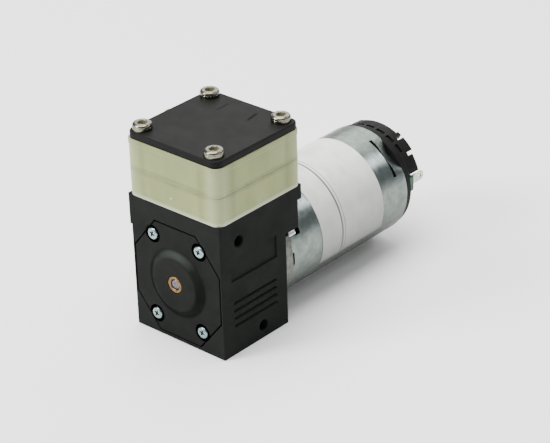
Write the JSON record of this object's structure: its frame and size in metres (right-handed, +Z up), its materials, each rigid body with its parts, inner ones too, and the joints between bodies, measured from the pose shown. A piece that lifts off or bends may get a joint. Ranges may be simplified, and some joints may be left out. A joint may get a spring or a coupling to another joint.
{
  "type": "ink pump",
  "caption": "Small diaphragm ink pump: black body, cream two-layer head with side nipples, black top plate and a DC motor behind it.",
  "frame": {"origin": "centre of the pump body's bottom face", "axes": "+Z up through the head, +Y along the motor shaft from the front cover to the motor, +X to the right seen from the front"},
  "size_m": [0.0404, 0.091, 0.0619],
  "materials": {
    "body_plastic": "fine moulded grain",
    "cover_plastic": "satin, moulded",
    "head_plastic": "natural, slightly translucent",
    "plate_black": "satin black coat",
    "zinc_steel": "zinc plated",
    "bronze": "sintered, oiled",
    "shaft_steel": "ground",
    "die_cast": "as cast",
    "can_steel": "zinc plated, drawn",
    "foil": "silver-white foil",
    "cap_plastic": "moulded",
    "board_green": "solder mask",
    "tinned": "tinned",
    "elastomer": "moulded",
    "brass_insert": "turned",
    "rod_plastic": "glass-filled, moulded",
    "bearing_steel": "ground and polished",
    "cage_steel": "pressed",
    "ferrite": "sintered",
    "spring_steel": "hardened strip",
    "laminations": "stacked sheet",
    "copper": "enamelled wire",
    "graphite": "pressed carbon",
    "washer_plastic": "laminate",
    "capacitor": "ceramic"
  },
  "bodies": {
    "root": {"housing": "body_plastic", "threaded_inserts": "brass_insert", "front_cover": "cover_plastic", "cover_screws": "zinc_steel", "front_bush": "bronze", "head_lower": "head_plastic", "head_upper": "head_plastic", "top_plate": "plate_black", "head_screws": "zinc_steel", "valve_seals": "elastomer", "diaphragm": "elastomer", "motor_front_plate": "die_cast", "motor_front_bush": "bronze", "motor_screws": "zinc_steel", "motor_can": "can_steel", "magnets": "ferrite", "magnet_springs": "spring_steel", "motor_label": "foil", "end_cap": "cap_plastic", "rear_bush": "bronze", "brushes": "graphite", "brush_arms": "spring_steel", "terminals": "tinned", "suppressor_board": "board_green", "suppressor_capacitor": "capacitor"},
    "rotor": {"motor_shaft": "shaft_steel", "eccentric": "die_cast", "eccentric_set_screw": "zinc_steel", "bearing_inner_ring": "bearing_steel", "bearing_clip": "spring_steel", "armature_core": "laminations", "armature_windings": "copper", "commutator": "copper", "thrust_washers": "washer_plastic"},
    "rod": {"connecting_rod": "rod_plastic", "bearing_outer_ring": "bearing_steel", "diaphragm_insert": "zinc_steel"},
    "ball_set": {"bearing_balls": "bearing_steel", "bearing_cage": "cage_steel"},
    "inlet_disc": {"inlet_valve": "elastomer"},
    "outlet_disc": {"outlet_valve": "elastomer"}
  },
  "joints": [
    {"name": "shaft_spin", "type": "hinge", "parent": "root", "child": "rotor", "pos_m": [0, 0, 0.01855], "axis": [0, 1, 0], "continuous": true},
    {"name": "rod_pin", "type": "hinge", "parent": "rotor", "child": "rod", "pos_m": [0, 0.0034, 0.01735], "axis": [0, 1, 0], "continuous": true, "deforming": ["diaphragm"]},
    {"name": "ball_set_spin", "type": "hinge", "parent": "rotor", "child": "ball_set", "pos_m": [0, 0.0034, 0.01735], "axis": [0, 1, 0], "continuous": true},
    {"name": "inlet_lift", "type": "slide", "parent": "root", "child": "inlet_disc", "axis": [0, 0, 1], "range_m": [0, 0.00045]},
    {"name": "outlet_lift", "type": "slide", "parent": "root", "child": "outlet_disc", "axis": [0, 0, 1], "range_m": [0, 0.00045]}
  ],
  "couplings": [
    {"joint": "rod_pin", "follows": "shaft_spin", "ratio": -1},
    {"joint": "ball_set_spin", "follows": "shaft_spin", "ratio": -0.59583}
  ]
}
